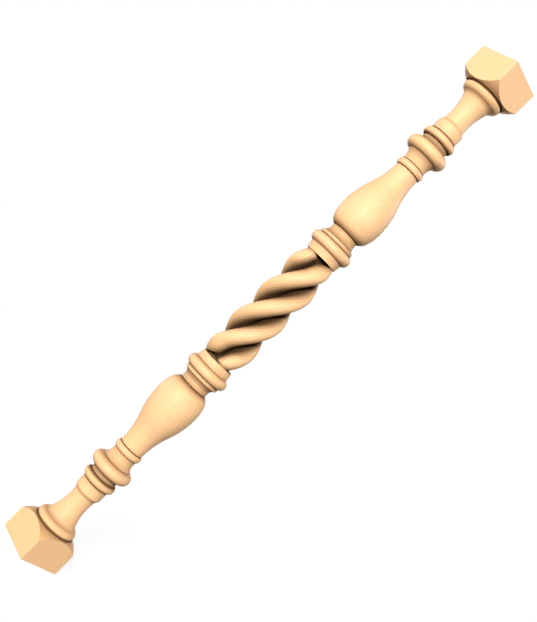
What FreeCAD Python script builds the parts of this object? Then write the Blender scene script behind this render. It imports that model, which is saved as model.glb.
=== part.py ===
import FreeCAD
import Part
import Sketcher

import math
import os

# Stair baluster, turned and carved from one square blank of wood, in millimetres.
# It stands upright on its foot: +Z runs up the axis, and the origin is the middle of the foot's underside.
# The two halves are mirror images, apart from the rope twist in the middle, which turns one way all along.

# Lengths along the axis, in order from the middle of the twist to one end.
# Five quirks come between them: a quirk is the narrow V cut that sets one turned form off from the next.
LENGTHS = [
    ("twist_half_length", 96.4),
    ("collar_length", 11.2),
    ("twist_bead_length", 14.8),
    ("fillet_length", 4.2),
    ("hollow_length", 7.2),
    ("neck_length", 7.0),
    ("belly_shoulder_length", 10.2),
    ("belly_rise_length", 19.7),
    ("belly_fall_length", 41.0),
    ("vase_neck_length", 43.9),
    ("small_ring_length", 8.9),
    ("cove_length", 15.6),
    ("large_bead_length", 19.4),
    ("spacer_length", 6.7),
    ("small_bead_length", 13.0),
    ("band_length", 14.2),
    ("chamfer_length", 5.1),
    ("trumpet_length", 39.2),
    ("flare_length", 6.6),
    ("block_ring_length", 9.6),
    ("block_quirk_width", 3.2),
    ("shoulder_length", 13.7),
    ("block_length", 32.2),
]
QUIRK_COUNT = 5

# Radii of the turned forms where they begin and end. The core lies inside the strands of the twist.
RADII = [
    ("core_radius", 8.0),
    ("collar_face_radius", 24.6),
    ("collar_radius", 26.4),
    ("twist_bead_end_radius", 29.4),
    ("fillet_radius", 26.9),
    ("neck_radius", 20.9),
    ("belly_foot_radius", 22.8),
    ("belly_shoulder_radius", 30.6),
    ("belly_radius", 33.7),
    ("waist_radius", 26.4),
    ("vase_neck_radius", 18.3),
    ("small_ring_radius", 19.6),
    ("cove_foot_radius", 18.5),
    ("cove_top_radius", 22.8),
    ("spacer_radius", 20.4),
    ("small_bead_end_radius", 20.8),
    ("band_radius", 20.4),
    ("trumpet_foot_radius", 17.1),
    ("trumpet_top_radius", 20.6),
    ("block_ring_foot_radius", 25.2),
    ("block_ring_radius", 30.9),
    ("shoulder_foot_radius", 32.2),
]

# How far each rounded form stands out from, or sinks below, the straight line between its two ends.
RISES = [
    ("twist_bead_rise", 4.6),
    ("hollow_sink", 1.0),
    ("belly_shoulder_rise", 1.2),
    ("small_ring_rise", 1.4),
    ("cove_sink", 2.0),
    ("large_bead_rise", 9.7),
    ("small_bead_rise", 4.6),
    ("trumpet_sink", 2.29),
    ("flare_sink", 0.75),
    ("block_ring_rise", 1.8),
    ("shoulder_rise", 1.1),
]

# The square blocks and the quirks.
CUTS = [
    ("block_side", 67.5),
    ("arris", 0.6),
    ("quirk_width", 1.4),
    ("quirk_depth", 1.6),
    ("block_quirk_depth", 3.2),
]

# The rope twist. The turn is the angle of one crest at mid-height, and the pitch is the height of a full
# turn. Over the closing length the crests come in, the grooves run out and the turn lags, up to the collars.
# There each groove ends in a three-sided notch: it runs back and on along the collar from the middle of
# the groove, drops to a point in the groove, and goes in as far as its floor.
TWIST = [
    ("crest_radius", 31.1),
    ("groove_radius", 10.5),
    ("crest_end_radius", 23.0),
    ("groove_end_radius", 13.0),
    ("closing_length", 26.0),
    ("twist_pitch", 158.8),
    ("twist_turn", -55.6),
    ("end_lag", 19.0),
    ("notch_back", 14.0),
    ("notch_on", 17.0),
    ("notch_drop", 8.0),
    ("notch_floor_radius", 9.5),
]
STRANDS = 3
TWIST_SPANS = 24


def fill_sheet(doc):
    """Write every driving size to a sheet, then the two sizes that follow from them."""
    sheet = doc.addObject("Spreadsheet::Sheet", "Sizes")
    follows = [
        ("half_length", f"=sum(B1:B{len(LENGTHS)}) + {QUIRK_COUNT} * quirk_width"),
        ("corner_radius", "=block_side * sqrt(0.5) + arris / 2"),
    ]
    for row, (name, value) in enumerate(LENGTHS + RADII + RISES + CUTS + TWIST + follows, 1):
        sheet.set(f"A{row}", name)
        sheet.set(f"B{row}", str(value))
        sheet.setAlias(f"B{row}", name)
    doc.recompute()
    return sheet


def origin_part(body, role):
    """The body's own origin plane or axis with this role."""
    return next(part for part in body.Origin.OriginFeatures if part.Role == role)


def add_sketch(body, name, role):
    """An empty sketch on one of the body's own origin planes."""
    sketch = body.newObject("Sketcher::SketchObject", name)
    sketch.AttachmentSupport = [(origin_part(body, role), "")]
    sketch.MapMode = "FlatFace"
    return sketch


def join(sketch, kind, *points):
    """Add a constraint that has no measure."""
    sketch.addConstraint(Sketcher.Constraint(kind, *points))


def bind(sketch, sheet, formula, kind, *points):
    """Add a measured constraint whose value follows a formula of the sheet's sizes."""
    value = float(sheet.evalExpression(formula))
    number = sketch.addConstraint(Sketcher.Constraint(kind, *points, value))
    sketch.setExpression(f"Constraints[{number}]", formula)


class TurnedOutline:
    """A chain of lines and arcs from the axis outwards and then up, with every size bound to the sheet.

    Each call adds one form, by the names of its end radius and of its length along the axis.
    """

    def __init__(self, sketch, sheet):
        self.sketch = sketch
        self.sheet = sheet
        self.end = (-1, 1)
        self.at = FreeCAD.Vector(0, 0, 0)
        self.radius = "0"

    def target(self, radius, length):
        height = self.at.y + float(self.sheet.evalExpression(length))
        return FreeCAD.Vector(float(self.sheet.evalExpression(radius)), height, 0)

    def place(self, edge, first, last, radius, length):
        """Join an edge's first point to the chain, and bind its last point's radius and height."""
        join(self.sketch, "Coincident", edge, first, *self.end)
        if length == "0":
            join(self.sketch, "Horizontal", edge, first, edge, last)
        else:
            bind(self.sketch, self.sheet, length, "DistanceY", edge, first, edge, last)
        bind(self.sketch, self.sheet, radius, "DistanceX", -1, 1, edge, last)
        self.at = self.target(radius, length)
        self.end = (edge, last)
        self.radius = radius

    def add_line(self, radius, length):
        edge = self.sketch.addGeometry(Part.LineSegment(self.at, self.target(radius, length)))
        self.place(edge, 1, 2, radius, length)

    def add_arc(self, radius, length, rise):
        """An arc by its rise over the chord, negative for a hollow, with the number of its last point."""
        to = self.target(radius, length)
        chord = to - self.at
        outwards = FreeCAD.Vector(chord.y, -chord.x, 0).normalize()
        crown = (self.at + to) * 0.5 + outwards * rise
        edge = self.sketch.addGeometry(Part.Arc(self.at, crown, to))
        first, last = (1, 2) if rise > 0 else (2, 1)
        self.place(edge, first, last, radius, length)
        return edge, first, last

    def step(self, radius):
        """A flat face, square to the axis."""
        self.add_line(f"Sizes.{radius}", "0")

    def straight(self, radius, length):
        """A cylinder or a cone."""
        self.add_line(f"Sizes.{radius}", f"Sizes.{length}")

    def quirk(self, floor, radius, width="quirk_width", depth="quirk_depth"):
        """A narrow V cut below the floor radius, which ends at the radius of the next form."""
        self.add_line(f"Sizes.{floor} - Sizes.{depth}", f"Sizes.{width} / 2")
        self.add_line(f"Sizes.{radius}", f"Sizes.{width} / 2")

    def bow(self, radius, length, rise, side):
        """A bead, on side 1, or a hollow, on side -1, as deep as its rise."""
        width = f"Sizes.{radius} - ({self.radius})"
        edge, _, _ = self.add_arc(f"Sizes.{radius}", f"Sizes.{length}", side * getattr(self.sheet, rise))
        formula = f"(Sizes.{length} ^ 2 + ({width}) ^ 2) / (8 * Sizes.{rise}) + Sizes.{rise} / 2"
        bind(self.sketch, self.sheet, formula, "Radius", edge)

    def bead(self, radius, length, rise):
        self.bow(radius, length, rise, 1)

    def hollow(self, radius, length, sink):
        self.bow(radius, length, sink, -1)

    def swell(self, radius, length, side, level):
        """An arc that runs level with the axis at one end, 0 for its first and 1 for its last."""
        chord = self.target(f"Sizes.{radius}", f"Sizes.{length}") - self.at
        rise = chord.Length / 2 * math.tan(math.atan2(abs(chord.x), chord.y) / 2)
        edge, first, last = self.add_arc(f"Sizes.{radius}", f"Sizes.{length}", side * rise)
        join(self.sketch, "Horizontal", edge, 3, edge, (first, last)[level])

    def close(self):
        """Back to the axis, and down it to the start."""
        on_axis = FreeCAD.Vector(0, self.at.y, 0)
        top = self.sketch.addGeometry(Part.LineSegment(self.at, on_axis))
        axis = self.sketch.addGeometry(Part.LineSegment(on_axis, FreeCAD.Vector(0, 0, 0)))
        join(self.sketch, "Coincident", top, 1, *self.end)
        join(self.sketch, "Horizontal", top)
        join(self.sketch, "Coincident", axis, 1, top, 2)
        join(self.sketch, "Coincident", axis, 2, -1, 1)
        join(self.sketch, "Vertical", axis)


def turn_half(body, sheet):
    """Everything that the lathe shapes on one half, with the block still a plain round."""
    sketch = add_sketch(body, "TurnedProfile", "XZ_Plane")
    turned = TurnedOutline(sketch, sheet)

    # The core inside the twist, and the collar that the strands run into.
    turned.step("core_radius")
    turned.straight("core_radius", "twist_half_length")
    turned.step("collar_face_radius")
    turned.straight("collar_radius", "collar_length")

    # Bead, fillet and hollow between the collar and the vase.
    turned.bead("twist_bead_end_radius", "twist_bead_length", "twist_bead_rise")
    turned.quirk("fillet_radius", "fillet_radius")
    turned.straight("fillet_radius", "fillet_length")
    turned.hollow("neck_radius", "hollow_length", "hollow_sink")
    turned.straight("neck_radius", "neck_length")
    turned.quirk("neck_radius", "belly_foot_radius")

    # The vase: a full belly that draws in to a long neck.
    turned.bead("belly_shoulder_radius", "belly_shoulder_length", "belly_shoulder_rise")
    turned.swell("belly_radius", "belly_rise_length", 1, 1)
    turned.swell("waist_radius", "belly_fall_length", 1, 0)
    turned.swell("vase_neck_radius", "vase_neck_length", -1, 1)

    # Small ring, cove, and the large and small beads with a spacer between them.
    turned.quirk("vase_neck_radius", "small_ring_radius")
    turned.bead("small_ring_radius", "small_ring_length", "small_ring_rise")
    turned.quirk("cove_foot_radius", "cove_foot_radius")
    turned.hollow("cove_top_radius", "cove_length", "cove_sink")
    turned.bead("spacer_radius", "large_bead_length", "large_bead_rise")
    turned.straight("spacer_radius", "spacer_length")
    turned.bead("small_bead_end_radius", "small_bead_length", "small_bead_rise")
    turned.quirk("band_radius", "band_radius")

    # Band, chamfer, and the trumpet that flares out to the ring under the block.
    turned.straight("band_radius", "band_length")
    turned.straight("trumpet_foot_radius", "chamfer_length")
    turned.hollow("trumpet_top_radius", "trumpet_length", "trumpet_sink")
    turned.hollow("block_ring_foot_radius", "flare_length", "flare_sink")
    turned.bead("block_ring_radius", "block_ring_length", "block_ring_rise")
    turned.quirk("block_ring_radius", "shoulder_foot_radius", "block_quirk_width", "block_quirk_depth")

    # The shoulder, out to just past the corners of the blank, and the length of the block.
    turned.bead("corner_radius", "shoulder_length", "shoulder_rise")
    turned.straight("corner_radius", "block_length")
    turned.close()

    half = body.newObject("PartDesign::Revolution", "TurnedHalf")
    half.Profile = sketch
    half.ReferenceAxis = (sketch, ["V_Axis"])
    half.Angle = 360


def square_block(body, sheet):
    """The four flats of the blank, left on the block: the turned shoulder runs out in an arch on each."""
    sketch = add_sketch(body, "BlockFlats", "XY_Plane")
    sketch.setExpression("AttachmentOffset.Base.z", "Sizes.half_length")
    half_side = sheet.block_side / 2
    signs = ((-1, -1), (1, -1), (1, 1), (-1, 1))
    corners = [FreeCAD.Vector(x * half_side, y * half_side, 0) for x, y in signs]
    sides = [sketch.addGeometry(Part.LineSegment(corners[i], corners[(i + 1) % 4])) for i in range(4)]
    for i, side in enumerate(sides):
        join(sketch, "Coincident", side, 2, sides[(i + 1) % 4], 1)
        join(sketch, ("Horizontal", "Vertical")[i % 2], side)
    join(sketch, "Symmetric", sides[0], 1, sides[2], 1, -1, 1)
    bind(sketch, sheet, "Sizes.block_side", "DistanceX", sides[0], 1, sides[0], 2)
    bind(sketch, sheet, "Sizes.block_side", "DistanceY", sides[1], 1, sides[1], 2)

    # The waste outside the square reaches past everything that is turned.
    outside = Part.Circle(FreeCAD.Vector(0, 0, 0), FreeCAD.Vector(0, 0, 1), sheet.block_side)
    waste = sketch.addGeometry(outside)
    join(sketch, "Coincident", waste, 3, -1, 1)
    bind(sketch, sheet, "Sizes.block_side", "Radius", waste)

    flats = body.newObject("PartDesign::Pocket", "Flats")
    flats.Profile = sketch
    flats.setExpression("Length", "Sizes.block_length + Sizes.shoulder_length")
    return flats


def ease_block(body, flats, sheet):
    """Take the sharp arris off the block's long edges and the edges of its end."""
    corner = sheet.block_side * math.sqrt(0.5)
    names = []
    for number, edge in enumerate(flats.Shape.Edges, 1):
        ends = [vertex.Point for vertex in edge.Vertexes]
        on_corner = all(abs(math.hypot(point.x, point.y) - corner) < 0.01 for point in ends)
        at_end = any(abs(point.z - sheet.half_length) < 0.01 for point in ends)
        if on_corner and at_end:
            names.append(f"Edge{number}")
    eased = body.newObject("PartDesign::Chamfer", "EasedBlock")
    eased.Base = (flats, names)
    eased.setExpression("Size", "Sizes.arris")


def mirror_half(body):
    """The other half, below the middle of the twist."""
    whole = body.newObject("PartDesign::Mirrored", "BothHalves")
    whole.TransformMode = "Whole shape"
    whole.MirrorPlane = (origin_part(body, "XY_Plane"), [""])
    body.Tip = whole


def draw_slice(body, sheet, number):
    """One level slice through the twist: round strands about the axis, which meet in the grooves."""
    height = f"({2 * number / TWIST_SPANS - 1} * Sizes.twist_half_length)"
    past = f"max(abs({height}) - Sizes.twist_half_length + Sizes.closing_length; 0)"
    closed = f"({past} / Sizes.closing_length)"
    crest = f"(Sizes.crest_radius + (Sizes.crest_end_radius - Sizes.crest_radius) * {closed} ^ 2)"
    groove = f"(Sizes.groove_radius + (Sizes.groove_end_radius - Sizes.groove_radius) * {closed})"
    side = -1 if 2 * number < TWIST_SPANS else 1
    turn = f"(Sizes.twist_turn + 360 * {height} / Sizes.twist_pitch - {side} * Sizes.end_lag * {closed})"

    # The circle through a crest and the grooves on both sides of it has its centre this far from the axis.
    half_gap = 180 / STRANDS
    offset = f"(({crest} ^ 2 - {groove} ^ 2) / (2 * ({crest} - {groove} * cos({half_gap}))))"

    sketch = add_sketch(body, f"TwistSlice{number:02d}", "XY_Plane")
    sketch.setExpression("AttachmentOffset.Base.z", height)
    crest_now, groove_now, turn_now = [float(sheet.evalExpression(size)) for size in (crest, groove, turn)]
    arcs = []
    for strand in range(STRANDS):
        middle = turn_now + 2 * half_gap * strand
        points = []
        for radius, angle in ((groove_now, -half_gap), (crest_now, 0), (groove_now, half_gap)):
            spoke = math.radians(middle + angle)
            points.append(FreeCAD.Vector(radius * math.cos(spoke), radius * math.sin(spoke), 0))
        arcs.append(sketch.addGeometry(Part.Arc(*points)))
    for strand, arc in enumerate(arcs):
        spoke = f"{turn} + {2 * half_gap * strand}"
        join(sketch, "Coincident", arc, 2, arcs[(strand + 1) % STRANDS], 1)
        bind(sketch, sheet, f"{crest} - {offset}", "Radius", arc)
        bind(sketch, sheet, f"{offset} * cos({spoke})", "DistanceX", -1, 1, arc, 3)
        bind(sketch, sheet, f"{offset} * sin({spoke})", "DistanceY", -1, 1, arc, 3)
    return sketch


def carve_twist(body, sheet):
    """The rope twist: a right-handed run of slices from one collar to the other."""
    slices = [draw_slice(body, sheet, number) for number in range(TWIST_SPANS + 1)]
    twist = body.newObject("PartDesign::AdditiveLoft", "Twist")
    twist.Profile = slices[0]
    twist.Sections = slices[1:]
    body.Tip = twist


def end_grooves(doc, body, sheet, name, side):
    """The notches that end the grooves at one collar, on side 1 for the upper and -1 for the lower."""
    run = "(360 * Sizes.twist_half_length / Sizes.twist_pitch - Sizes.end_lag)"
    spoke = f"(Sizes.twist_turn + {180 / STRANDS} + {side} * {run})"
    face_turn = float(sheet.evalExpression(spoke)) + 90
    sketch = add_sketch(body, f"{name}Notch", "XZ_Plane")
    sketch.AttachmentOffset = FreeCAD.Placement(
        FreeCAD.Vector(), FreeCAD.Rotation(FreeCAD.Vector(0, 1, 0), face_turn))
    sketch.setExpression("AttachmentOffset.Rotation.Angle", f"{spoke} + 90")
    sketch.setExpression("AttachmentOffset.Base.x", f"Sizes.notch_floor_radius * cos({spoke})")
    sketch.setExpression("AttachmentOffset.Base.z", f"-Sizes.notch_floor_radius * sin({spoke})")

    corners = [
        (f"{-side} * Sizes.notch_back", f"{side} * Sizes.twist_half_length"),
        (f"{side} * Sizes.notch_on", f"{side} * Sizes.twist_half_length"),
        ("0", f"{side} * (Sizes.twist_half_length - Sizes.notch_drop)"),
    ]
    places = []
    for corner in corners:
        x, y = [float(sheet.evalExpression(size)) for size in corner]
        places.append(FreeCAD.Vector(x, y, 0))
    edges = [sketch.addGeometry(Part.LineSegment(places[i], places[(i + 1) % 3])) for i in range(3)]
    for i, (across, up) in enumerate(corners):
        join(sketch, "Coincident", edges[i], 2, edges[(i + 1) % 3], 1)
        bind(sketch, sheet, up, "DistanceY", -1, 1, edges[i], 1)
        if across == "0":
            join(sketch, "PointOnObject", edges[i], 1, -2)
        else:
            bind(sketch, sheet, across, "DistanceX", -1, 1, edges[i], 1)

    cut = body.newObject("PartDesign::Pocket", f"{name}NotchCut")
    cut.Profile = sketch
    cut.Reversed = True
    cut.setExpression("Length", "Sizes.crest_radius")
    doc.recompute()
    cuts = body.newObject("PartDesign::PolarPattern", f"{name}Notches")
    cuts.Originals = [cut]
    cuts.Axis = (origin_part(body, "Z_Axis"), [""])
    cuts.Angle = 360
    cuts.Occurrences = STRANDS
    body.Tip = cuts
    doc.recompute()


def build_baluster(doc, sheet):
    """The whole baluster about the middle of its twist, lifted to stand on its foot."""
    body = doc.addObject("PartDesign::Body", "Baluster")
    body.Label = "baluster"
    turn_half(body, sheet)
    doc.recompute()
    flats = square_block(body, sheet)
    doc.recompute()
    ease_block(body, flats, sheet)
    doc.recompute()
    mirror_half(body)
    doc.recompute()
    carve_twist(body, sheet)
    doc.recompute()
    end_grooves(doc, body, sheet, "Upper", 1)
    end_grooves(doc, body, sheet, "Lower", -1)
    body.setExpression("Placement.Base.z", "Sizes.half_length")
    doc.recompute()
    return body


def check(doc, body):
    """Stop before anything is written if a step failed or the piece is not one sound solid."""
    for item in doc.Objects:
        if {"Invalid", "Error"} & set(item.State):
            raise RuntimeError(f"{item.Label} failed: {item.State}")
    shape = body.Shape
    if shape.isNull() or not shape.isValid() or len(shape.Solids) != 1:
        raise RuntimeError(f"{body.Label} is not one sound solid")
    box = shape.optimalBoundingBox()
    print(f"{body.Label}: {box.XLength:.1f} x {box.YLength:.1f} x {box.ZLength:.1f} mm, "
          f"{shape.Volume / 1000:.0f} cubic cm, {len(shape.Faces)} faces")


def main():
    doc = FreeCAD.newDocument("StairBaluster")
    sheet = fill_sheet(doc)
    body = build_baluster(doc, sheet)
    check(doc, body)
    os.makedirs("parts", exist_ok=True)
    body.Shape.exportStep(f"parts/{body.Label}.step")


main()
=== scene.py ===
# %% [markdown]
# # A stair baluster, turned and carved from one blank
#
# The real object is one length of pale hardwood. Its ends were left square, the rest was turned on a
# lathe, and the rope twist in the middle was carved. All of its shape is in the solid model, so nothing
# is modelled here. This notebook takes the solid as it is, gives the wood its colour, figure and sheen,
# and sets up a camera and lights.

# %% Load the solid model
import math

import bpy
from mathutils import Matrix, Vector


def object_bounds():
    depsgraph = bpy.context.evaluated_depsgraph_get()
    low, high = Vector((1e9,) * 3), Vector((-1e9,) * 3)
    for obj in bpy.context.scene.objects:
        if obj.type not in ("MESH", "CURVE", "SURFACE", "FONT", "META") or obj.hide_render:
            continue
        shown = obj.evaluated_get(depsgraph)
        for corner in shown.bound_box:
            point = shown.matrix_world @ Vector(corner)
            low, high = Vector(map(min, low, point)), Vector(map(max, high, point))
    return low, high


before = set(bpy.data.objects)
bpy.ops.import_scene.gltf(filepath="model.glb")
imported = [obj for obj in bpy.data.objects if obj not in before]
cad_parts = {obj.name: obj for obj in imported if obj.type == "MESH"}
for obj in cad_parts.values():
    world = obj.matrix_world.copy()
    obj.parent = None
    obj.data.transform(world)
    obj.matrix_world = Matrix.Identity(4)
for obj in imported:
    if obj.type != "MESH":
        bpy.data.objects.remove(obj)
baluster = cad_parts["baluster"]
solid_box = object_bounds()
height = solid_box[1].z - solid_box[0].z
print(f"baluster: {len(baluster.data.polygons)} triangles, {height * 1000:.0f} mm tall")

# %% [markdown]
# ## A helper for nodes
#
# A material is a small graph. Every node in it needs the same three things: a kind, some settings, and
# links to the nodes before it. One function that does all three keeps each material short enough to read
# from top to bottom. Colours are written as hex values, as a colour picker shows them. Blender mixes
# light in linear values, so a second function converts each hex value.

# %% Node and colour helpers
def add_node(tree, kind, settings=None, links=None):
    """Add one node. Settings are input values or properties by name, links are outputs by input."""
    made = tree.nodes.new(kind)
    for name, value in (settings or {}).items():
        if isinstance(name, int) or name in made.inputs:
            made.inputs[name].default_value = value
        else:
            setattr(made, name, value)
    for name, output in (links or {}).items():
        tree.links.new(output, made.inputs[name])
    return made


def linear(hex_value):
    """A colour picker's hex value as linear red, green, blue and alpha."""
    shares = [int(hex_value[i:i + 2], 16) / 255 for i in (1, 3, 5)]
    return [s / 12.92 if s <= 0.04045 else ((s + 0.055) / 1.055) ** 2.4 for s in shares] + [1.0]


MM = 0.001
print("white in linear values:", linear("#FFFFFF"))

# %% [markdown]
# ## The growth rings of the wood
#
# Beech is a common timber for stair parts: pale tan and very even, with growth rings a few millimetres
# wide that show only faintly. An image of a plank could be wrapped round the surface, but it would smear
# over the beads. The figure belongs to the tree and not to the surface, and the lathe cuts through it. So
# the pattern fills space: it reads Object coordinates, and the rings go round the tree's centre, which
# lies outside the blank.

# %% Rings
# Turned, sanded beech with a satin finish gives the eye an even tan and a soft sheen without a mirror in it.
beech = bpy.data.materials.new("beech_turned_sanded_satin")
beech.use_nodes = True
wood = beech.node_tree
wood.nodes.clear()
place = add_node(wood, "ShaderNodeTexCoord")

# The pith, the tree's centre, is about a quarter of a metre away. The height is scaled down, which draws the
# waves in the rings out along the trunk.
PITH = Vector((-0.24, 0.11, 0))
ALONG_TRUNK = 0.12
RING_WIDTH = 3.2 * MM
WAVE_REPEAT = 2 * math.pi / 20  # a wave texture of scale 1 repeats after this length
from_pith = add_node(wood, "ShaderNodeMapping", {"Location": -PITH, "Scale": (1, 1, ALONG_TRUNK)},
                     {"Vector": place.outputs["Object"]})
rings = add_node(wood, "ShaderNodeTexWave",
                 {"wave_type": "RINGS", "rings_direction": "Z", "wave_profile": "SIN",
                  "Scale": WAVE_REPEAT / RING_WIDTH, "Distortion": 2.2, "Detail": 2.0,
                  "Detail Scale": 0.12, "Detail Roughness": 0.5},
                 {"Vector": from_pith.outputs["Vector"]})
print(f"{beech.name}: rings {RING_WIDTH / MM:.1f} mm apart, {PITH.length / MM:.0f} mm from the pith")

# %% [markdown]
# ## Fibres and flecks
#
# Along the grain, beech shows thin streaks and the short, dark ends of its rays. They could be drawn as
# many small strokes, but a noise gives the same uneven scatter from two sizes, a width and a length. It
# is squeezed across the grain and drawn out along it. For the flecks only the peaks of such a noise are
# kept.

# %% Fibres and flecks
# Single fibres are too fine to show, so these are drawn as coarse as bundles that the eye can pick out.
FIBRE_WIDTH, FIBRE_LENGTH = 1.1 * MM, 60 * MM
along = add_node(wood, "ShaderNodeMapping",
                 {"Scale": (1 / FIBRE_WIDTH, 1 / FIBRE_WIDTH, 1 / FIBRE_LENGTH)},
                 {"Vector": place.outputs["Object"]})
fibres = add_node(wood, "ShaderNodeTexNoise", {"Scale": 1.0, "Detail": 3.0, "Roughness": 0.6},
                  {"Vector": along.outputs["Vector"]})

FLECK_WIDTH, FLECK_LENGTH = 0.9 * MM, 7 * MM
short = add_node(wood, "ShaderNodeMapping",
                 {"Scale": (1 / FLECK_WIDTH, 1 / FLECK_WIDTH, 1 / FLECK_LENGTH)},
                 {"Vector": place.outputs["Object"]})
fleck_noise = add_node(wood, "ShaderNodeTexNoise", {"Scale": 1.0, "Detail": 1.0},
                       {"Vector": short.outputs["Vector"]})
flecks = add_node(wood, "ShaderNodeMapRange", {"From Min": 0.6, "From Max": 0.75},
                  {"Value": fleck_noise.outputs["Fac"]})
print(f"fibres {FIBRE_WIDTH / MM:.1f} x {FIBRE_LENGTH / MM:.0f} mm, "
      f"flecks {FLECK_WIDTH / MM:.1f} x {FLECK_LENGTH / MM:.0f} mm")

# %% [markdown]
# ## The colour of the bare wood
#
# Sanded beech is nearly one colour. A single colour ramp over one noise could give that, but then the
# rings, fibres and flecks could not be told apart or changed one by one. Three mixes, each on top of the
# one before, keep them apart. All three are faint, because in the picture the wood is very plain.

# %% Bare wood
# A Mix node has sockets for every type of data in a row. These are the numbers of its colours.
COLOUR_A, COLOUR_B, COLOUR_OUT = 6, 7, 2
EARLY_WOOD, LATE_WOOD = "#F9C996", "#F6C591"
FIBRE, FLECK = "#E9B47C", "#C08F5C"
FIBRE_MOST, FLECK_MOST = 0.2, 0.16
ring_colour = add_node(wood, "ShaderNodeMix",
                       {"data_type": "RGBA", COLOUR_A: linear(EARLY_WOOD), COLOUR_B: linear(LATE_WOOD)},
                       {"Factor": rings.outputs["Fac"]})
fibre_share = add_node(wood, "ShaderNodeMapRange",
                       {"From Min": 0.35, "From Max": 0.75, "To Max": FIBRE_MOST},
                       {"Value": fibres.outputs["Fac"]})
fibre_colour = add_node(wood, "ShaderNodeMix", {"data_type": "RGBA", COLOUR_B: linear(FIBRE)},
                        {"Factor": fibre_share.outputs["Result"], COLOUR_A: ring_colour.outputs[COLOUR_OUT]})
fleck_share = add_node(wood, "ShaderNodeMath", {"operation": "MULTIPLY", 1: FLECK_MOST},
                       {0: flecks.outputs["Result"]})
bare = add_node(wood, "ShaderNodeMix", {"data_type": "RGBA", COLOUR_B: linear(FLECK)},
                {"Factor": fleck_share.outputs["Value"], COLOUR_A: fibre_colour.outputs[COLOUR_OUT]})
print(f"bare wood: {EARLY_WOOD} to {LATE_WOOD}, up to {FIBRE_MOST:.0%} {FIBRE} and {FLECK_MOST:.0%} {FLECK}")

# %% [markdown]
# ## End grain and painted shade
#
# The more a face looks along the axis, the more cut fibre ends it shows. They drink more finish, and the
# same faces also carry painted shade, for the light that falls off on faces turned along the axis. So the
# sides of the beads and the two end faces come out darker than the long faces, partly end grain and partly
# painted shade. This could be painted on by hand. The surface normal already knows it: its share along
# the axis, squared, is 0 on the long faces and 1 on the end faces, so the darkening follows any change of
# the shape.

# %% End grain and painted shade
# Partly end grain, partly painted shade: faces turned along the axis are darkened as if less light fell on
# them.
END_GRAIN_AND_SHADE, END_GRAIN_AND_SHADE_MOST = "#9A6A3C", 0.85
facing = add_node(wood, "ShaderNodeSeparateXYZ", None, {"Vector": place.outputs["Normal"]})
squared = add_node(wood, "ShaderNodeMath", {"operation": "POWER", 1: 2.0}, {0: facing.outputs["Z"]})
end_grain_and_shade_share = add_node(wood, "ShaderNodeMapRange", {"To Max": END_GRAIN_AND_SHADE_MOST},
                     {"Value": squared.outputs["Value"]})
with_end_grain_and_shade = add_node(wood, "ShaderNodeMix", {"data_type": "RGBA", COLOUR_B: linear(END_GRAIN_AND_SHADE)},
               {"Factor": end_grain_and_shade_share.outputs["Result"], COLOUR_A: bare.outputs[COLOUR_OUT]})
print(f"end grain: up to {END_GRAIN_AND_SHADE_MOST:.0%} {END_GRAIN_AND_SHADE}")

# %% [markdown]
# ## Painted shade in the recesses
#
# Beside the beads and in the coves the colour is painted darker: painted shade, where the light falls off
# in the recesses. The curvature of the mesh could show where, but that changes with the triangles. Ambient
# Occlusion measures how closed in a point is, on any mesh. It is used twice. A wide reach finds where the
# painted shade goes. A short reach finds the narrow quirks, which are dark by their own shade, and holds
# the painted shade back there: with all of it they would turn to thick black lines.

# %% Painted shade in the recesses
# Painted shade: a dark brown laid into the recesses, where the shade falls.
RECESS_SHADE, RECESS_SHADE_MOST = "#3A1D06", 0.85
RECESS_SHADE_REACH, QUIRK_REACH = 20 * MM, 2 * MM
AO_SAMPLES = 8
recess = add_node(wood, "ShaderNodeAmbientOcclusion",
                  {"samples": AO_SAMPLES, "only_local": True, "Distance": RECESS_SHADE_REACH})
recess_shade_share = add_node(wood, "ShaderNodeMapRange", {"From Min": 0.97, "From Max": 0.66, "To Max": RECESS_SHADE_MOST},
                  {"Value": recess.outputs["AO"]})
tight = add_node(wood, "ShaderNodeAmbientOcclusion",
                 {"samples": AO_SAMPLES, "only_local": True, "Distance": QUIRK_REACH})
room = add_node(wood, "ShaderNodeMapRange", {"From Min": 0.5, "From Max": 0.9, "To Min": 0.3},
                {"Value": tight.outputs["AO"]})
recess_shade = add_node(wood, "ShaderNodeMath", {"operation": "MULTIPLY"},
                 {0: recess_shade_share.outputs["Result"], 1: room.outputs["Result"]})
with_recess_shade = add_node(wood, "ShaderNodeMix", {"data_type": "RGBA", COLOUR_B: linear(RECESS_SHADE)},
                  {"Factor": recess_shade.outputs["Value"], COLOUR_A: with_end_grain_and_shade.outputs[COLOUR_OUT]})
print(f"glaze: gathers within {RECESS_SHADE_REACH / MM:.0f} mm, held back within {QUIRK_REACH / MM:.0f} mm")

# %% [markdown]
# ## Depth in the grooves of the twist
#
# In the carved grooves the colour is painted darker with depth, as painted shade, from the flanks of the
# strands down to the seam between them. Depth could be painted or baked, but on a round piece it is
# simply the distance from the axis. Near the collars the strands come in towards the axis, so the two
# levels that the painted shade runs between come in with them. They follow the height above or below the
# middle of the twist.

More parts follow.
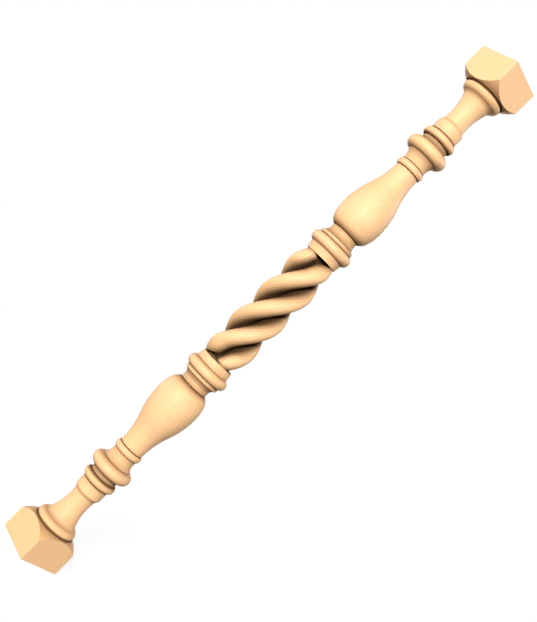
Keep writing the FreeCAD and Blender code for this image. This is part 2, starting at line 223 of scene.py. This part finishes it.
# %% Groove levels
# Levels of the painted shade in the grooves, from the top of the flanks down to the seam.
TWIST_HALF, CLOSING = 96.4 * MM, 26 * MM
GROOVE_TOP, GROOVE_END_TOP = 28.5 * MM, 23 * MM
GROOVE_SEAM, GROOVE_END_SEAM = 12 * MM, 11 * MM
point = add_node(wood, "ShaderNodeSeparateXYZ", None, {"Vector": place.outputs["Object"]})
flat = add_node(wood, "ShaderNodeCombineXYZ", None, {"X": point.outputs["X"], "Y": point.outputs["Y"]})
from_axis = add_node(wood, "ShaderNodeVectorMath", {"operation": "LENGTH"}, {0: flat.outputs["Vector"]})
above = add_node(wood, "ShaderNodeMath", {"operation": "SUBTRACT", 1: height / 2}, {0: point.outputs["Z"]})
from_middle = add_node(wood, "ShaderNodeMath", {"operation": "ABSOLUTE"}, {0: above.outputs["Value"]})
closing = {"From Min": TWIST_HALF - CLOSING, "From Max": TWIST_HALF}
top = add_node(wood, "ShaderNodeMapRange", {**closing, "To Min": GROOVE_TOP, "To Max": GROOVE_END_TOP},
               {"Value": from_middle.outputs["Value"]})
seam = add_node(wood, "ShaderNodeMapRange", {**closing, "To Min": GROOVE_SEAM, "To Max": GROOVE_END_SEAM},
                {"Value": from_middle.outputs["Value"]})
# Printed as groove stain; it is painted shade, darker with depth.
print(f"groove stain: {GROOVE_TOP / MM:.1f} mm from the axis down to {GROOVE_SEAM / MM:.1f} mm")

# %% [markdown]
# ## Painted shade and tool ridges in the grooves
#
# A gouge that runs along a groove leaves fine ridges. Cut into the solid, they would take many more
# triangles than the twist itself. So they are drawn as lines in the painted shade: a sine of the distance
# from the axis draws lines of equal depth, and on a twist those run along the strands as the gouge does.
# The painted shade thins out at the collars, where the grooves end in open notches.

# %% Painted shade in the grooves
# Painted shade in the grooves: near black at the seam, where light hardly reaches, lighter up the flanks.
GROOVE_SHADE, GROOVE_SHADE_MOST = "#1C0E05", 0.985
RIDGE_WIDTH, RIDGE_DEPTH = 2.6 * MM, 1.8 * MM  # coarser than a gouge leaves them, so that they show
THINNING = 9 * MM
phase = add_node(wood, "ShaderNodeMath", {"operation": "MULTIPLY", 1: 2 * math.pi / RIDGE_WIDTH},
                 {0: from_axis.outputs["Value"]})
ridge = add_node(wood, "ShaderNodeMath", {"operation": "SINE"}, {0: phase.outputs["Value"]})
scraped = add_node(wood, "ShaderNodeMath", {"operation": "MULTIPLY_ADD", 1: RIDGE_DEPTH},
                   {0: ridge.outputs["Value"], 2: from_axis.outputs["Value"]})
depth = add_node(wood, "ShaderNodeMapRange", {"To Max": GROOVE_SHADE_MOST},
                 {"Value": scraped.outputs["Value"], "From Min": top.outputs["Result"],
                  "From Max": seam.outputs["Result"]})
in_twist = add_node(wood, "ShaderNodeMapRange",
                    {"From Min": TWIST_HALF + THINNING, "From Max": TWIST_HALF - THINNING},
                    {"Value": from_middle.outputs["Value"]})
groove = add_node(wood, "ShaderNodeMath", {"operation": "MULTIPLY"},
                  {0: depth.outputs["Result"], 1: in_twist.outputs["Result"]})
colour = add_node(wood, "ShaderNodeMix", {"data_type": "RGBA", COLOUR_B: linear(GROOVE_SHADE)},
                  {"Factor": groove.outputs["Value"], COLOUR_A: with_recess_shade.outputs[COLOUR_OUT]})
print(f"tool ridges: {RIDGE_WIDTH / MM:.1f} mm apart, thinning over {2 * THINNING / MM:.0f} mm")

# %% [markdown]
# ## The satin finish
#
# A satin finish gives a broad, weak sheen, a little rougher along some fibres than others, and the fibres
# can just be felt. A second, clear layer could stand for it, but a finish that is wiped in leaves no
# layer of its own, so one layer with a low specular level is enough. The sheen goes to nothing where the
# painted shade lies in the recesses and grooves. With a sheen there, dark edges would get grey rims.

# %% Satin finish
WOOD_IOR = 1.5
SHEEN = 0.15
SMOOTHEST, ROUGHEST = 0.42, 0.54
FIBRE_RELIEF = 0.08 * MM
roughness = add_node(wood, "ShaderNodeMapRange", {"To Min": SMOOTHEST, "To Max": ROUGHEST},
                     {"Value": fibres.outputs["Fac"]})
bump = add_node(wood, "ShaderNodeBump", {"Strength": 0.12, "Distance": FIBRE_RELIEF},
                {"Height": fibres.outputs["Fac"]})
# Where the painted shade lies, the sheen is taken away.
painted_shade_cover = add_node(wood, "ShaderNodeMath", {"operation": "MAXIMUM"},
                   {0: recess_shade.outputs["Value"], 1: groove.outputs["Value"]})
polish = add_node(wood, "ShaderNodeMapRange", {"From Max": 0.5, "To Min": SHEEN, "To Max": 0.0},
                  {"Value": painted_shade_cover.outputs["Value"]})
surface = add_node(wood, "ShaderNodeBsdfPrincipled", {"IOR": WOOD_IOR},
                   {"Base Color": colour.outputs[COLOUR_OUT], "Roughness": roughness.outputs["Result"],
                    "Specular IOR Level": polish.outputs["Result"], "Normal": bump.outputs["Normal"]})
add_node(wood, "ShaderNodeOutputMaterial", None, {"Surface": surface.outputs["BSDF"]})

baluster.data.materials.clear()
baluster.data.materials.append(beech)
print(f"{beech.name}: {len(wood.nodes)} nodes, roughness {SMOOTHEST} to {ROUGHEST}")

# %% [markdown]
# ## Camera
#
# The picture looks level at the middle of the baluster, straight at one corner of its blocks, and is
# rolled so that the axis runs from lower left to upper right. The camera could be turned by three angles,
# but those are hard to check. Three directions describe the view better: towards the camera, and the
# picture's own right and up. A camera's matrix is made of just these three and its place. The distance
# follows from how much nearer the front corners of the blocks look than the side corners, and the lens
# from the size in the picture.

# %% Camera
PICTURE_HEIGHT = 622
FOCAL_PIXELS = 938
DISTANCE = 1.247
ROLL = math.radians(45)
SHIFT_RIGHT, SHIFT_UP = 1.05 * MM, 1.08 * MM

towards = Vector((1, -1, 0)).normalized()
level_right = Vector((1, 1, 0)).normalized()
upright = Vector((0, 0, 1))
picture_right = upright * math.sin(ROLL) + level_right * math.cos(ROLL)
picture_up = upright * math.cos(ROLL) - level_right * math.sin(ROLL)
waist = Vector((0, 0, height / 2))
aim = waist - picture_right * SHIFT_RIGHT - picture_up * SHIFT_UP

camera = bpy.data.objects.new("camera", bpy.data.cameras.new("camera"))
bpy.context.collection.objects.link(camera)
turn = Matrix((picture_right, picture_up, towards)).transposed().to_4x4()
camera.matrix_world = Matrix.Translation(aim + towards * DISTANCE) @ turn
camera.data.lens = FOCAL_PIXELS / PICTURE_HEIGHT * camera.data.sensor_width
bpy.context.scene.camera = camera
print(f"camera: {camera.data.lens:.1f} mm lens, {DISTANCE:.3f} m away")

# %% [markdown]
# ## Floor
#
# The baluster stands on a floor, which catches a shadow and throws a little light back on the underside
# of the beads. A plane would do, but its corners could show in some views, so it is a plain disc.

# %% Floor
FLOOR_RADIUS = 1.1
bpy.ops.mesh.primitive_circle_add(vertices=96, radius=FLOOR_RADIUS, fill_type="NGON")
floor = bpy.context.object
floor.name = "floor"
print(f"floor: {2 * FLOOR_RADIUS:.1f} m across")

# %% [markdown]
# ## White paint on the floor
#
# The picture's background is plain white. Brighter lamps could make the floor white, but they would
# bleach the wood too. So the floor glows, and only for rays that come from the camera, a mirror or glass.
# To the light that falls on the wood it is a plain grey.

# %% Floor paint
WHITE, FLOOR_GREY = linear("#FFFFFF"), linear("#868686")
FLOOR_GLOW = 0.8


def seen_as_background(tree):
    """An output of 1 for rays from the camera, a mirror or glass, and of 0 for rays that carry light."""
    rays = add_node(tree, "ShaderNodeLightPath")
    mirrored = add_node(tree, "ShaderNodeMath", {"operation": "MAXIMUM"},
                        {0: rays.outputs["Is Glossy Ray"], 1: rays.outputs["Is Transmission Ray"]})
    seen = add_node(tree, "ShaderNodeMath", {"operation": "MAXIMUM"},
                    {0: rays.outputs["Is Camera Ray"], 1: mirrored.outputs["Value"]})
    return seen.outputs["Value"]


# Matt paint gives the eye no sheen at all, so only the soft shadow shows on it.
pale = bpy.data.materials.new("floor_matt_white")
pale.use_nodes = True
paint = pale.node_tree
paint.nodes.clear()
glow = add_node(paint, "ShaderNodeMath", {"operation": "MULTIPLY", 1: FLOOR_GLOW},
                {0: seen_as_background(paint)})
white = add_node(paint, "ShaderNodeEmission", {"Color": WHITE}, {"Strength": glow.outputs["Value"]})
matt = add_node(paint, "ShaderNodeBsdfDiffuse", {"Color": FLOOR_GREY})
both = add_node(paint, "ShaderNodeAddShader", None, {0: white.outputs[0], 1: matt.outputs[0]})
add_node(paint, "ShaderNodeOutputMaterial", None, {"Surface": both.outputs[0]})
floor.data.materials.append(pale)
print(f"{pale.name}: glow {FLOOR_GLOW}, {len(paint.nodes)} nodes")

# %% [markdown]
# ## Background
#
# Past the floor the picture shows the world. It could be a white backdrop behind the object, but the
# world has no edge and casts no shadow. It is white in the same way as the floor is, and dim to the light
# on the wood.

# %% Background
AMBIENT = 0.04
world = bpy.data.worlds.new("studio")
world.use_nodes = True
bpy.context.scene.world = world
air = world.node_tree
air.nodes.clear()
strength = add_node(air, "ShaderNodeMapRange", {"To Min": AMBIENT, "To Max": 1.0},
                    {"Value": seen_as_background(air)})
sky = add_node(air, "ShaderNodeBackground", {"Color": WHITE}, {"Strength": strength.outputs["Result"]})
add_node(air, "ShaderNodeOutputWorld", None, {"Surface": sky.outputs["Background"]})
print(f"background: white to the camera, ambient light {AMBIENT}")

# %% [markdown]
# ## Light
#
# The forms read as round because the light comes from near the camera, a little to the left and above:
# each bead and strand is bright along its front and falls off to both edges. A sun lamp could do that
# with hard shadows. A large soft box does it without. Two weaker ones behind the object, left and right,
# draw its edges. One straight behind lights it for a view from the back, and a faint one overhead lights
# the tops.

# %% Light
def add_soft_box(name, direction, distance, size, level):
    """An area lamp that looks at the middle, and lights a white face there to a level: 1 is white."""
    lamp = bpy.data.lights.new(name, "AREA")
    lamp.shape = "DISK"
    lamp.size = size
    lamp.energy = level * math.pi ** 2 * distance ** 2
    made = bpy.data.objects.new(name, lamp)
    bpy.context.collection.objects.link(made)
    made.location = waist + direction.normalized() * distance
    made.rotation_mode = "QUATERNION"
    made.rotation_quaternion = direction.to_track_quat("Z", "Y")
    return made


# Each direction is a sum of the view's own directions. Distances and sizes are in metres.
front_left = towards - level_right * 0.22 + upright * 0.27
far_left = -towards - level_right * 1.7
far_right = -towards + level_right * 1.7 + upright * 1.3
rear = upright * 0.2 - towards
lamps = [
    add_soft_box("key", front_left, distance=3.6, size=0.9, level=1.49),
    add_soft_box("back_left", far_left, distance=5.0, size=2.0, level=0.34),
    add_soft_box("back_right", far_right, distance=2.2, size=0.9, level=0.5),
    add_soft_box("behind", rear, distance=4.0, size=2.0, level=0.6),
    add_soft_box("overhead", upright, distance=1.6, size=0.8, level=0.08),
]
for lamp in lamps:
    print(f"{lamp.name}: {lamp.data.energy:.0f} W, {lamp.data.size:.1f} m across")

# %% [markdown]
# ## View transform
#
# The view transform is the plain one, which shows a colour about as it is written.

# %% View transform
bpy.context.scene.view_settings.view_transform = "Standard"
